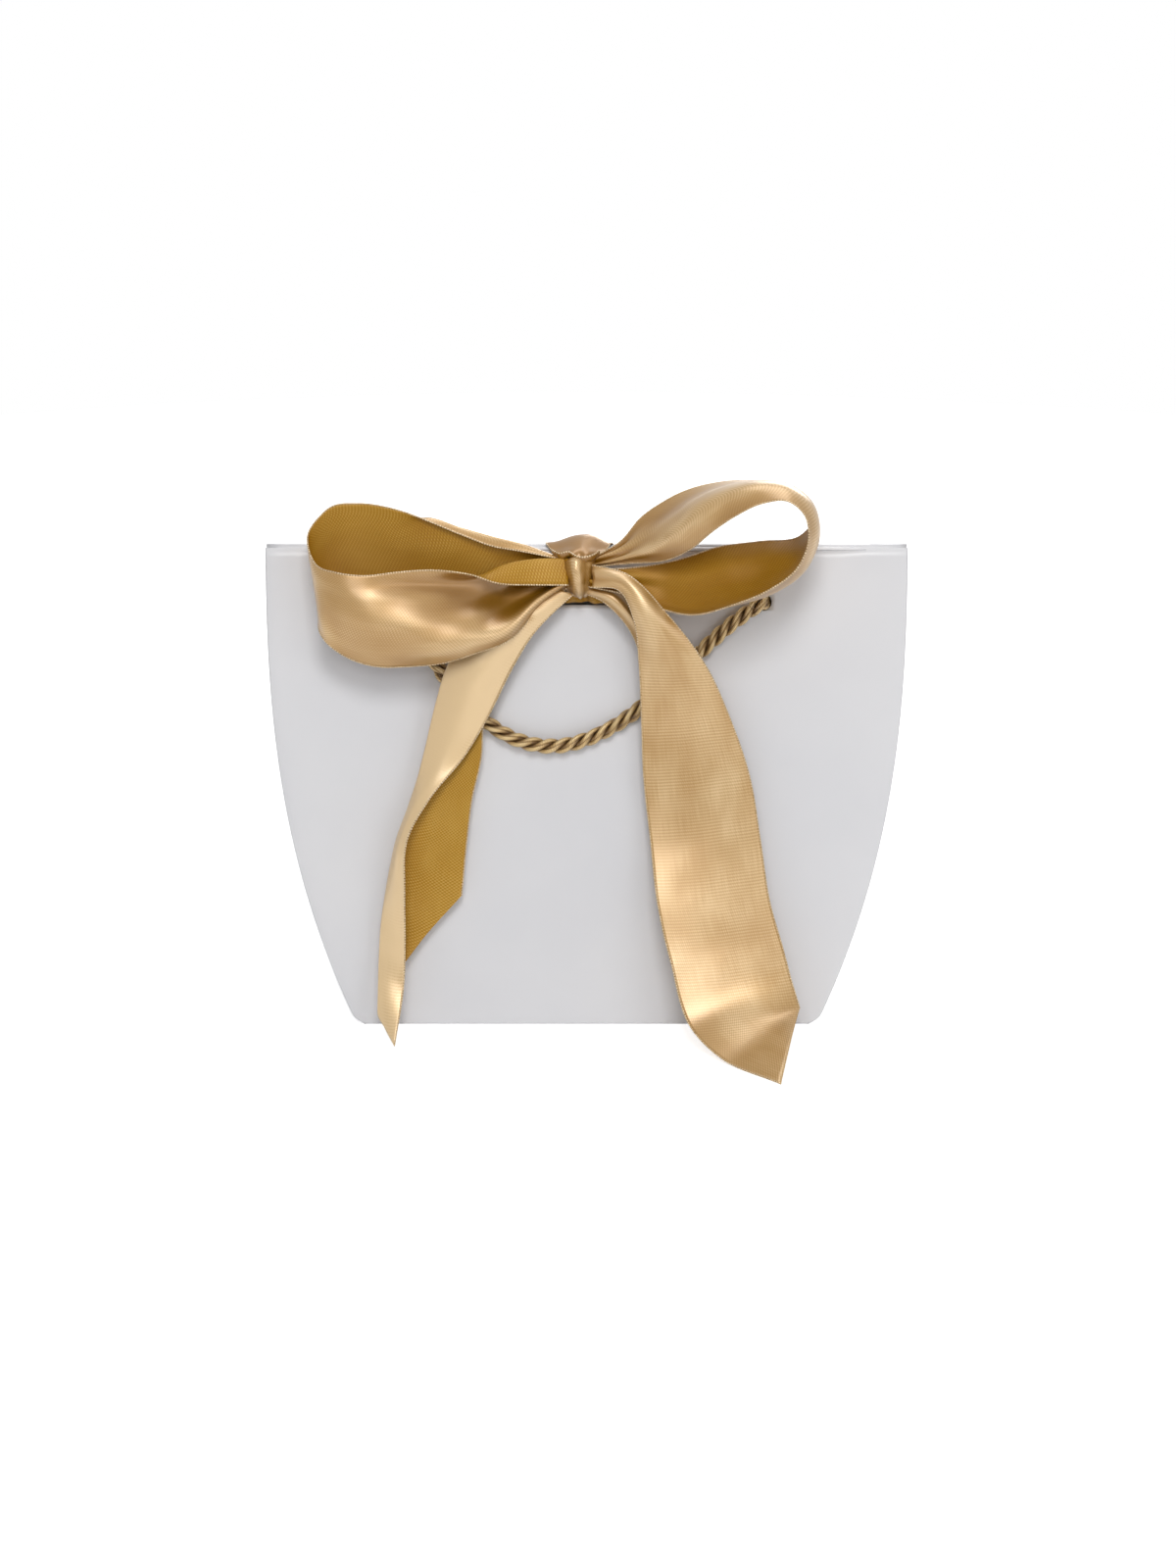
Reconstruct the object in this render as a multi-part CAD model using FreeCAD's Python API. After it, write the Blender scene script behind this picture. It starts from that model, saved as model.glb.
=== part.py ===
import FreeCAD, Part
import math
import os

# Gift bag, in millimetres. +Z is up, the front faces -Y, and the origin is the centre of the base's
# underside. A place on the front or back panel is (x, v, h): v runs up the panel's slope from its
# bottom edge, and h is the distance outside its outer face. side is -1 on the front, +1 on the back.

# Bag
HALF_TOP = 140.4
FLARE = 38.4
FLARE_POWER = 2.6
SLANT = 211.0
HALF_DEPTH = 45.0
HALF_MOUTH = 3.5
PAPER = 0.6
BOARD = 0.8
HEM = 0.5
GLUE = 0.05
SPLINE_POINTS = 9

# Mouth: turned-in hem, its board, the ribbon slot and the handle holes
HEM_BOTTOM = 171.0
HEM_HALF_WIDTH = 108.0
BOARD_BOTTOM = 176.0
BOARD_TOP = 209.5
SLOT_HALF_WIDTH = 15.0
SLOT_HEIGHT = 4.0
SLOT_V = 188.2
HOLE_RADIUS = 3.8
HOLE_X = 77.2
HOLE_V = 187.5

# Base
FLAP = 0.5
FLAP_HALF_WIDTH = 98.4
FLAP_LAP = 20.0
SIDE_FLAP = 44.0
BASE_CARD = 1.0
BASE_CARD_HALF = (97.0, 43.0)
CREASE_START = 30.0
TAB_INSET = 5.0
TAB_WIDTH = 12.0
TAB_ENDS = (4.0, 167.0)

# Handles
ROPE_RADIUS = 3.5
ROPE_OUT = 4.0
STUB_OUT = 0.15
KNOT_RADIUS = 7.2
KNOT_HALF_THICK = 2.9
# The hanging handle's centreline, as (x, v) at ROPE_OUT from the panel
ROPE_ROUTE = [
    (HOLE_X, HOLE_V), (59.0, 175.0), (25.0, 141.4), (1.5, 127.5), (-16.5, 123.5),
    (-35.0, 127.9), (-52.5, 142.0), (-65.0, 159.0), (-72.0, 173.5), (-HOLE_X, HOLE_V),
]
ARC_SHARE = 0.45

# Ribbon
RIBBON = 1.0
WRAP_HALF_WIDTH = 14.5

LEAN_SIN = (HALF_DEPTH - HALF_MOUTH) / SLANT
LEAN_COS = math.sqrt(1 - LEAN_SIN ** 2)
INSIDE = PAPER + BOARD + HEM + 2 * GLUE


def panel_point(x, v, h, side=-1):
    """A place on a panel, as a point in the bag's own frame."""
    y = HALF_DEPTH - v * LEAN_SIN + h * LEAN_COS
    return FreeCAD.Vector(x, side * y, v * LEAN_COS + h * LEAN_SIN)


def outward(side):
    return FreeCAD.Vector(0, side * LEAN_COS, LEAN_SIN)


def half_width(v):
    """The panel's half width, v up its slope."""
    return HALF_TOP - FLARE * (1 - min(v, SLANT) / SLANT) ** FLARE_POWER


def spaced(low, high, count):
    return [low + (high - low) * i / (count - 1) for i in range(count)]


def side_curve(sign, inset, low, high, h, side):
    """The panel's left (-1) or right (+1) edge, moved in by inset."""
    curve = Part.BSplineCurve()
    levels = spaced(low, high, SPLINE_POINTS)
    curve.interpolate([panel_point(sign * (half_width(v) - inset), v, h, side) for v in levels])
    return curve.toShape()


def strip_between(first, second, thickness, side):
    """A plate between two edge curves that both run upwards, thickened inwards."""
    low = Part.makeLine(first.firstVertex().Point, second.firstVertex().Point)
    high = Part.makeLine(first.lastVertex().Point, second.lastVertex().Point)
    wire = Part.Wire(Part.__sortEdges__([low, second, high, first]))
    return Part.Face(wire).extrude(outward(side) * -thickness)


def outline_plate(outline, h, thickness, side):
    """A plate with a straight-sided outline of (x, v), thickened inwards from h."""
    points = [panel_point(x, v, h, side) for x, v in outline]
    return Part.Face(Part.makePolygon(points + points[:1])).extrude(outward(side) * -thickness)


def open_mouth(plate, side):
    """Cuts the ribbon slot and both handle holes through a plate."""
    reach = 3 * INSIDE
    low, high = SLOT_V - SLOT_HEIGHT / 2, SLOT_V + SLOT_HEIGHT / 2
    wide = SLOT_HALF_WIDTH
    slot = outline_plate([(-wide, low), (wide, low), (wide, high), (-wide, high)], INSIDE, reach, side)
    cutters = [slot]
    for x in (-HOLE_X, HOLE_X):
        cutters.append(rod(x, HOLE_V, HOLE_RADIUS, -2 * INSIDE, INSIDE, side))
    return plate.cut(cutters)


def rod(x, v, radius, h_from, h_to, side):
    """A round bar square to the panel."""
    return Part.makeCylinder(radius, h_to - h_from, panel_point(x, v, h_from, side), outward(side))


def panel(side):
    low = PAPER * LEAN_SIN / LEAN_COS
    left = side_curve(-1, 0, low, SLANT, 0, side)
    right = side_curve(1, 0, low, SLANT, 0, side)
    return open_mouth(strip_between(left, right, PAPER, side), side)


def mouth_strip(low, high, h, thickness, side):
    """The board or the hem behind a panel's mouth."""
    wide = HEM_HALF_WIDTH
    outline = [(-wide, low), (wide, low), (wide, high), (-wide, high)]
    return open_mouth(outline_plate(outline, h, thickness, side), side)


def glue_tab():
    h = -PAPER - GLUE
    outer = side_curve(-1, TAB_INSET, *TAB_ENDS, h, 1)
    inner = side_curve(-1, TAB_INSET + TAB_WIDTH, *TAB_ENDS, h, 1)
    return strip_between(outer, inner, HEM, 1)


def gusset_section(sign, side, v):
    """One level of a gusset half: from the panel's inner face in to the middle crease."""
    depth = HALF_DEPTH - v * LEAN_SIN
    fold = math.sqrt(max(HALF_DEPTH ** 2 - depth ** 2, 0)) * min(1, v / CREASE_START) ** 0.5
    near = depth - PAPER / LEAN_COS - GLUE
    wide = half_width(v)
    thick = PAPER * HALF_DEPTH / depth
    z = v * LEAN_COS
    corners = [(wide, near), (wide - fold, GLUE), (wide - fold - thick, GLUE), (wide - thick, near)]
    points = [FreeCAD.Vector(sign * x, side * y, z) for x, y in corners]
    return Part.makePolygon(points + points[:1])


def gusset_half(sign, side):
    steps = 10
    levels = [SLANT * (i / steps) ** 1.5 for i in range(steps + 1)]
    return Part.makeLoft([gusset_section(sign, side, v) for v in levels], True, True)


def slab(x_from, x_to, y_from, y_to, z, thickness):
    size = (x_to - x_from, y_to - y_from, thickness)
    return Part.makeBox(*size, FreeCAD.Vector(x_from, y_from, z))


def base_parts():
    wide = FLAP_HALF_WIDTH
    deep = HALF_DEPTH - PAPER / LEAN_COS - 4 * GLUE - 2 * FLAP * LEAN_SIN
    card_x, card_y = BASE_CARD_HALF
    side_z = 2 * FLAP
    return {
        "base_front_flap": slab(-wide, wide, -deep, FLAP_LAP, 0, FLAP),
        "base_back_flap": slab(-wide, wide, -FLAP_LAP, deep, FLAP, FLAP),
        "base_left_flap": slab(-wide, SIDE_FLAP - wide, -card_y, card_y, side_z, FLAP),
        "base_right_flap": slab(wide - SIDE_FLAP, wide, -card_y, card_y, side_z, FLAP),
        "base_card": slab(-card_x, card_x, -card_y, card_y, 3 * FLAP, BASE_CARD),
    }


def arc_radius(before, corner, after):
    """The largest tangent arc at a corner, and the distance at which it leaves the two runs."""
    turn = (corner - before).getAngle(after - corner)
    reach = ARC_SHARE * min(corner.distanceToPoint(before), corner.distanceToPoint(after))
    return reach / math.tan(turn / 2), reach


def handle_path(points):
    """Straight runs joined by tangent arcs, with the arcs' radii."""
    edges, radii = [], []
    last = points[0]
    for before, corner, after in zip(points, points[1:], points[2:]):
        radius, reach = arc_radius(before, corner, after)
        back = (before - corner).normalize()
        ahead = (after - corner).normalize()
        start = corner + back * reach
        end = corner + ahead * reach
        centre = corner + (back + ahead).normalize() * math.hypot(radius, reach)
        middle = centre + (corner - centre).normalize() * radius
        edges.append(Part.LineSegment(last, start).toShape())
        edges.append(Part.Arc(start, middle, end).toShape())
        last = end
        radii.append(round(radius, 1))
    edges.append(Part.LineSegment(last, points[-1]).toShape())
    return Part.Wire(edges), radii


def handle_rope(side):
    """The hanging U of rope, with round ends on the swing axis."""
    points = [panel_point(x, v, ROPE_OUT, side) for x, v in ROPE_ROUTE]
    path, radii = handle_path(points)
    start = Part.Circle(points[0], points[1] - points[0], ROPE_RADIUS)
    tube = path.makePipeShell([Part.Wire(start.toShape())], True, False)
    expected = path.Length * math.pi * ROPE_RADIUS ** 2
    print("handle length", round(path.Length, 1), "arc radii", radii)
    print("tube volume over section times length", round(tube.Volume / expected, 4))
    ends = [Part.makeSphere(ROPE_RADIUS, point) for point in (points[0], points[-1])]
    return tube.fuse(ends)


def stop_knot(x, side):
    """The rope's end: a flattened knot inside the bag, and the short neck through the hole."""
    flat = FreeCAD.Matrix()
    flat.scale(1, 1, KNOT_HALF_THICK / KNOT_RADIUS)
    ball = Part.makeSphere(KNOT_RADIUS).transformGeometry(flat)
    turn = FreeCAD.Rotation(FreeCAD.Vector(0, 0, 1), outward(side))
    centre = panel_point(x, HOLE_V, -INSIDE - GLUE - KNOT_HALF_THICK, side)
    ball.Placement = FreeCAD.Placement(centre, turn)
    return ball.fuse(rod(x, HOLE_V, ROPE_RADIUS, -INSIDE - KNOT_HALF_THICK, STUB_OUT, side))


def cross_prism(outline, wide):
    """A profile of (side, v, h) across the mouth, made wide along X."""
    points = [panel_point(-wide, v, h, side) for side, v, h in outline]
    return Part.Face(Part.makePolygon(points + points[:1])).extrude(FreeCAD.Vector(2 * wide, 0, 0))


def slot_band():
    wide = WRAP_HALF_WIDTH - 1
    reach = HALF_DEPTH - SLOT_V * LEAN_SIN + 0.5
    z = SLOT_V * LEAN_COS
    return slab(-wide, wide, -reach, reach, z - RIBBON / 2, RIBBON)


def top_wrap():
    """Up the back from the slot, over the mouth and down to the knot."""
    over = SLANT + 1.0
    low = SLOT_V + 1.0
    outline = [
        (1, low, 0.2), (1, low, 1.2), (1, over, 1.2), (1, over + 1.6, 0.0), (-1, over + 1.6, 0.0),
        (-1, over, 3.0), (-1, 207.2, 7.0), (-1, 206.8, 6.0), (-1, over - 0.6, 2.0),
        (-1, over, 0.2), (1, over, 0.2),
    ]
    return cross_prism(outline, WRAP_HALF_WIDTH)


def bow_knot():
    """The tight wrap at the bow's middle, widest at its top."""
    sections = [(185.5, 2.0, 1.2, 4.0), (190.5, 4.5, 0.8, 13.0), (197.0, 6.5, 0.8, 16.5), (206.0, 7.5, 0.8, 14.0)]
    wires = []
    for v, wide, near, far in sections:
        x, bevel = -3.0, wide * 0.45
        ring = [
            (x - wide, near), (x + wide, near), (x + wide, far - bevel), (x + wide - bevel, far),
            (x - wide + bevel, far), (x - wide, far - bevel),
        ]
        points = [panel_point(px, v, h) for px, h in ring]
        wires.append(Part.makePolygon(points + points[:1]))
    return Part.makeLoft(wires, True, True)


def ribbon_section(stations, i):
    """The corners of a ribbon's cross-section at station i, thickened to one side."""
    first, second = stations[i]
    before = stations[max(i - 1, 0)]
    after = stations[min(i + 1, len(stations) - 1)]
    along = (after[0] + after[1]) - (before[0] + before[1])
    lift = along.cross(second - first).normalize() * RIBBON
    return [first, second, second + lift, first + lift]


def ribbon_strip(stations):
    """A ribbon through pairs of edge points, RIBBON thick."""
    sections = [ribbon_section(stations, i) for i in range(len(stations))]
    faces = [Part.Face(Part.makePolygon(ring + ring[:1])) for ring in (sections[0], sections[-1])]
    for here, there in zip(sections, sections[1:]):
        for k in range(4):
            low = Part.makeLine(here[k - 1], here[k])
            high = Part.makeLine(there[k - 1], there[k])
            faces.append(Part.makeRuledSurface(low, high))
    skin = Part.Compound(faces)
    skin.sewShape()
    solid = Part.makeSolid(Part.Shell(skin.Faces))
    if solid.Volume < 0:
        solid.reverse()
    return solid


def panel_strip(pairs):
    """A ribbon through pairs of edge places (x, v, h) on the front."""
    return ribbon_strip([(panel_point(*first), panel_point(*second)) for first, second in pairs])


def left_loop():
    """Out from the knot, round the left end and back behind: lower edge, upper edge."""
    return panel_strip([
        ((-12.0, 192.0, 12.0), (-12.0, 204.0, 12.0)),
        ((-34.0, 173.0, 22.0), (-36.0, 201.0, 22.0)),
        ((-64.0, 161.0, 29.0), (-68.0, 204.5, 27.0)),
        ((-92.0, 159.7, 31.0), (-94.0, 202.5, 30.0)),
        ((-108.0, 167.0, 30.0), (-107.0, 204.0, 29.0)),
        ((-116.5, 177.0, 26.0), (-117.0, 209.0, 25.0)),
        ((-118.5, 184.0, 20.0), (-120.5, 216.0, 20.0)),
        ((-115.0, 186.0, 14.0), (-116.0, 225.0, 15.0)),
        ((-104.0, 184.0, 10.5), (-103.5, 230.0, 11.0)),
        ((-75.0, 179.0, 9.5), (-75.0, 225.3, 9.5)),
        ((-45.0, 183.0, 9.2), (-45.0, 218.6, 9.2)),
        ((-13.0, 194.0, 9.0), (-13.0, 207.0, 9.0)),
    ])


def right_loop():
    """Out from the knot, round the right end and back above: the near edge, then the far edge."""
    return panel_strip([
        ((6.0, 195.0, 13.0), (6.0, 202.5, 12.0)),
        ((17.6, 191.5, 13.5), (17.7, 203.0, 11.5)),
        ((31.8, 186.0, 17.0), (31.3, 204.7, 10.0)),
        ((45.5, 184.0, 30.0), (43.3, 207.6, 9.5)),
        ((61.2, 188.7, 41.0), (58.2, 212.4, 9.5)),
        ((77.7, 195.7, 46.0), (75.2, 214.5, 9.5)),
        ((90.1, 206.3, 48.0), (92.3, 216.6, 9.2)),
        ((95.5, 216.9, 49.0), (100.5, 224.0, 9.2)),
        ((94.6, 224.4, 49.0), (98.0, 231.7, 9.2)),
        ((87.6, 230.3, 48.0), (88.1, 238.6, 9.2)),
        ((75.2, 230.2, 46.0), (71.0, 240.3, 9.2)),
        ((62.9, 223.6, 42.0), (53.9, 237.7, 9.5)),
        ((54.0, 214.0, 36.0), (45.0, 235.0, 9.5)),
        ((46.0, 208.5, 28.0), (35.0, 230.5, 9.5)),
        ((33.0, 206.5, 19.0), (23.5, 222.0, 9.5)),
        ((18.0, 205.5, 13.0), (14.7, 212.0, 9.5)),
        ((7.5, 204.5, 11.0), (8.2, 207.5, 9.0)),
    ])


def floor_point(x, forward, z=0.4):
    """A place on the floor, forward of the front panel's bottom edge."""
    return FreeCAD.Vector(x, -HALF_DEPTH - forward, z)


def left_tail():
    pairs = [
        ((-12.5, 186.0, 13.0), (-6.0, 182.5, 13.0)),
        ((-38.0, 176.0, 15.0), (-22.9, 173.0, 15.0)),
        ((-58.0, 158.0, 14.0), (-33.0, 158.0, 14.0)),
        ((-64.7, 142.0, 10.5), (-41.9, 139.5, 12.0)),
        ((-70.4, 121.4, 10.0), (-46.5, 119.0, 12.0)),
        ((-77.1, 100.8, 8.0), (-51.0, 100.8, 12.0)),
        ((-82.0, 83.5, 7.0), (-52.5, 84.0, 12.0)),
        ((-87.5, 65.1, 7.0), (-55.0, 59.9, 12.0)),
        ((-90.7, 42.6, 8.0), (-71.0, 43.7, 12.0)),
        ((-91.6, 18.0, 13.0), (-80.2, 20.0, 14.0)),
    ]
    stations = [(panel_point(*a), panel_point(*b)) for a, b in pairs]
    stations.append((floor_point(-91.0, 17.0, 1.5), floor_point(-81.5, 18.0, 1.5)))
    stations.append((floor_point(-85.5, 26.0), floor_point(-83.5, 26.0)))
    return ribbon_strip(stations)


def right_tail():
    pairs = [
        ((5.5, 194.8, 16.0), (5.5, 203.0, 16.0)),
        ((16.0, 191.0, 18.0), (23.0, 196.0, 20.0)),
        ((21.7, 176.0, 17.0), (41.6, 176.0, 20.0)),
        ((23.6, 153.6, 11.0), (54.0, 156.0, 13.0)),
        ((24.2, 130.5, 9.5), (65.0, 130.5, 10.0)),
        ((25.6, 107.5, 8.5), (72.4, 107.5, 9.0)),
        ((28.5, 78.0, 8.0), (76.5, 78.0, 9.0)),
        ((32.2, 50.0, 9.0), (81.2, 51.3, 10.0)),
        ((38.5, 27.0, 13.0), (86.0, 30.0, 13.0)),
    ]
    stations = [(panel_point(*a), panel_point(*b)) for a, b in pairs]
    stations.append((floor_point(45.5, 19.0, 5.0), floor_point(90.0, 14.0, 7.0)))
    stations.append((floor_point(56.0, 34.0), floor_point(89.0, 27.0, 1.0)))
    stations.append((floor_point(80.0, 68.0), floor_point(83.5, 67.0)))
    return ribbon_strip(stations)


def front_and_back():
    """The parts that are the same on both sides."""
    parts = {}
    for name, side in (("front", -1), ("back", 1)):
        parts[name + "_panel"] = panel(side)
        parts[name + "_reinforcement"] = mouth_strip(BOARD_BOTTOM, BOARD_TOP, -PAPER - GLUE, BOARD, side)
        hem_h = -PAPER - BOARD - 2 * GLUE
        parts[name + "_top_hem"] = mouth_strip(HEM_BOTTOM, SLANT, hem_h, HEM, side)
        parts[name + "_handle_rope"] = handle_rope(side)
        for hand, sign in (("left", -1), ("right", 1)):
            parts[hand + "_gusset_" + name + "_half"] = gusset_half(sign, side)
            parts[name + "_" + hand + "_stop_knot"] = stop_knot(sign * HOLE_X, side)
    return parts


def ribbon():
    return {
        "ribbon_slot_band": slot_band(),
        "ribbon_top_wrap": top_wrap(),
        "bow_knot": bow_knot(),
        "bow_left_loop": left_loop(),
        "bow_right_loop": right_loop(),
        "bow_left_tail": left_tail(),
        "bow_right_tail": right_tail(),
    }


def main():
    os.makedirs("parts", exist_ok=True)
    parts = {**front_and_back(), "side_glue_tab": glue_tab(), **base_parts(), **ribbon()}
    for name, shape in parts.items():
        if not shape.isValid() or len(shape.Solids) != 1:
            print("CHECK", name, "valid", shape.isValid(), "solids", len(shape.Solids))
        shape.exportStep(os.path.join("parts", name + ".step"))


main()
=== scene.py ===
import math

import bmesh
import bpy
import numpy as np
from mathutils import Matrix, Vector, noise
from mathutils.bvhtree import BVHTree
from numpy.linalg import norm


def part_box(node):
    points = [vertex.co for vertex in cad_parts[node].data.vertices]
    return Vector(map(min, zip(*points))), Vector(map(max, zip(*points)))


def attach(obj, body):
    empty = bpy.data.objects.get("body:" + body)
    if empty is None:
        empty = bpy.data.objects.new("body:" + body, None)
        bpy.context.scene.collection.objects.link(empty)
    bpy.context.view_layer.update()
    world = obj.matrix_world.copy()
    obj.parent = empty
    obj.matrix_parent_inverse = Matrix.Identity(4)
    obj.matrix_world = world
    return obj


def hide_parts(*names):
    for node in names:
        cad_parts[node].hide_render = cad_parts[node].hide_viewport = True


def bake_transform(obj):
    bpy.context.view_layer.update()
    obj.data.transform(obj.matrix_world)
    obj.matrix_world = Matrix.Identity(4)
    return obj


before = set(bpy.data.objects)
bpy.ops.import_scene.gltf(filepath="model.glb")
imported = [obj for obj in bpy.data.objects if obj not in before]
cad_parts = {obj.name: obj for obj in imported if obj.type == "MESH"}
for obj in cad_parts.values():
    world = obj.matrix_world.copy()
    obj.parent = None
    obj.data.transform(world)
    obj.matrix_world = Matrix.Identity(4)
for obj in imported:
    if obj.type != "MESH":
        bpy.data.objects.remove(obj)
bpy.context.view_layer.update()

# Sizes are in millimetres until a mesh is made. A place on the front or back panel is (x, v, h): v runs
# up the panel's slope from its bottom edge, and h is the distance outside its outer face.
MM = 0.001
FRONT, BACK = -1, 1
PANEL_LOW, PANEL_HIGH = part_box("front_panel")
HALF_DEPTH = -PANEL_LOW[1] / MM
HALF_TOP = PANEL_HIGH[0] / MM
HEIGHT = PANEL_HIGH[2] / MM
HALF_MOUTH = 3.5
SLANT = math.hypot(HEIGHT, HALF_DEPTH - HALF_MOUTH)
LEAN_SIN = (HALF_DEPTH - HALF_MOUTH) / SLANT
LEAN_COS = HEIGHT / SLANT
FLARE = 38.4
FLARE_POWER = 2.6
CORNER_WIDTH, CORNER_HEIGHT = 3.8, 4.5
CREASE_START = 30.0

# The card, its turned-in mouth, and what is cut through it
PAPER = 0.35
ROUND = 0.9
FOLD_RADIUS = 0.95
SHELL_TOP = SLANT - 0.7
HEM_BOTTOM = 171.0
HEM_END = 122.0
HEM_THINS_FROM, HEM_THINS_OVER, HEM_THINS_BY = 108.0, 18.0, 0.65
RISE, RISE_ENDS, RISE_BOTTOM = 0.95, (108.0, 124.0), 196.0
HOLE_X = 77.2
HOLE_V = 187.5
HOLE_RADIUS = 3.8
SLOT_HALF_WIDTH = 15.0
SLOT_HEIGHT = 4.0
SLOT_V = 188.2

# The ribbon, the beads of its selvages, and how tight a bend and how near a fold give painted shade in the
# ribbon's colour
RIBBON_WIDTH = 50.0
RIBBON_THICK = 0.3
BEAD_PITCH = 1.15
BEAD_RADIUS, BEAD_NECK, BEAD_SIDES = 0.42, 0.24, 6
PAINTED_SHADE_BEND = 9.0
LOOK_OUT = 40.0

# The rope's thickness, its centre's distance from the panel, and one turn of its lay. A yarn's orbit and
# radius are shares of its strand's radius, and its pitch is a share of the lay.
ROPE_DIAMETER = 7.0
ROPE_OUT = 4.0
ROPE_PITCH = 21.0
STRANDS, YARNS = 3, 2
YARN_ORBIT, YARN_RADIUS, YARN_PITCH, YARN_SIDES = 0.42, 0.66, 0.62, 9


def panel_point(x, v, h=0.0, side=FRONT):
    """A place on a panel, in millimetres in the bag's frame."""
    y = HALF_DEPTH - v * LEAN_SIN + h * LEAN_COS
    return np.array([x, side * y, v * LEAN_COS + h * LEAN_SIN])


def floor_point(x, forward, z=0.4):
    """A place on the floor, forward of the front panel's bottom edge."""
    return np.array([x, -HALF_DEPTH - forward, z])


def half_width(v):
    """The panels' half width, with the bag's rounded bottom corners."""
    flared = HALF_TOP - FLARE * (1 - min(v, SLANT) / SLANT) ** FLARE_POWER
    return flared - CORNER_WIDTH * max(0.0, 1 - v / CORNER_HEIGHT) ** 2


def fade(x, low, high):
    """Rises smoothly from 0 at low to 1 at high."""
    t = np.clip((np.asarray(x, float) - low) / (high - low), 0, 1)
    return t * t * (3 - 2 * t)


# ---- camera, light and stage

CAMERA_ELEVATION = math.radians(18.0)
CAMERA_DISTANCE = 1.62
CAMERA_LENS = 84.5
FLOOR_RADIUS = 1.3
AIM = Vector(panel_point(0.6, 107.4) * MM)


def add_camera():
    data = bpy.data.cameras.new("camera")
    data.lens = CAMERA_LENS
    data.clip_end = 20.0
    camera = bpy.data.objects.new("camera", data)
    away = Vector((0, -math.cos(CAMERA_ELEVATION), math.sin(CAMERA_ELEVATION)))
    camera.location = AIM + away * CAMERA_DISTANCE
    camera.rotation_euler = (-away).to_track_quat("-Z", "Y").to_euler()
    bpy.context.collection.objects.link(camera)
    bpy.context.scene.camera = camera


def add_lamp(name, place, size, watts):
    data = bpy.data.lights.new(name, "AREA")
    data.shape = "RECTANGLE"
    data.size = data.size_y = size
    data.energy = watts
    lamp = bpy.data.objects.new(name, data)
    lamp.location = place
    lamp.rotation_euler = (AIM - Vector(place)).to_track_quat("-Z", "Y").to_euler()
    bpy.context.collection.objects.link(lamp)


def ray_is_seen(nodes, links):
    """1 where the camera, a mirror or glass looks, 0 for the light that falls on the object."""
    path = nodes.new("ShaderNodeLightPath")
    total = path.outputs["Is Camera Ray"]
    for name in ("Is Glossy Ray", "Is Transmission Ray"):
        add = nodes.new("ShaderNodeMath")
        add.operation = "MAXIMUM"
        links.new(total, add.inputs[0])
        links.new(path.outputs[name], add.inputs[1])
        total = add.outputs[0]
    return total


def add_world():
    world = bpy.data.worlds.new("studio")
    world.use_nodes = True
    nodes, links = world.node_tree.nodes, world.node_tree.links
    background = nodes["Background"]
    background.inputs["Color"].default_value = (1, 1, 1, 1)
    strength = nodes.new("ShaderNodeMapRange")
    strength.inputs["To Min"].default_value = 0.22
    strength.inputs["To Max"].default_value = 1.0
    links.new(ray_is_seen(nodes, links), strength.inputs["Value"])
    links.new(strength.outputs["Result"], background.inputs["Strength"])
    bpy.context.scene.world = world


def add_floor():
    bpy.ops.mesh.primitive_circle_add(vertices=96, radius=FLOOR_RADIUS, fill_type="NGON")
    floor = bpy.context.object
    floor.name = "floor"
    m = Maker("studio_floor", (0.9, 0.9, 0.9), 0.9, Emission_Color=(1, 1, 1, 1))
    m.feed(m.math("MULTIPLY", ray_is_seen(m.nodes, m.links), 0.7), "Emission Strength")
    floor.data.materials.append(m.material)


def add_studio():
    add_camera()
    add_world()
    add_floor()
    add_lamp("key", (0.1, -1.75, 1.8), 0.7, 20.0)
    add_lamp("front", (-0.3, -2.3, 1.3), 0.6, 7.0)
    add_lamp("fill", (1.3, -1.8, 0.8), 1.0, 4.5)
    add_lamp("top", (0.2, 0.3, 1.9), 1.0, 9.0)
    add_lamp("back", (0.7, 2.1, 1.2), 1.2, 22.0)
    bpy.context.scene.view_settings.view_transform = "Standard"


# ---- materials


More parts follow.
